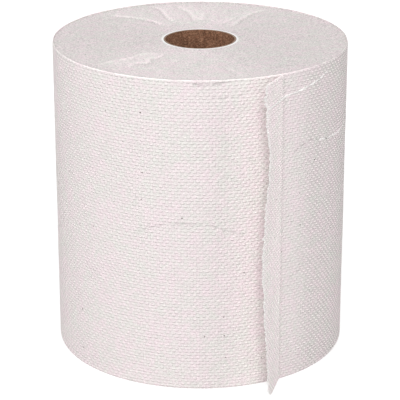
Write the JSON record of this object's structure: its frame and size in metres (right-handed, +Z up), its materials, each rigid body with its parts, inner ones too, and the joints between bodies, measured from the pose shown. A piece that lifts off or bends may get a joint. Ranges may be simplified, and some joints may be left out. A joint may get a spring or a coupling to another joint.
{
  "type": "paper towel roll",
  "caption": "Hardwound roll of embossed white paper towel standing on end, on an open cardboard core, its torn loose end standing off the side.",
  "frame": {"origin": "on the roll's axis, at the lower end that it stands on", "axes": "+Z up along the core's bore, -Y towards the side where the loose end stands off, +X to the right of it"},
  "size_m": [0.1902, 0.2079, 0.2038],
  "materials": {
    "towel_paper": "matte, embossed",
    "core_board": "matte kraft"
  },
  "bodies": {
    "root": {"towel_web": "towel_paper", "core": "core_board"}
  },
  "joints": []
}
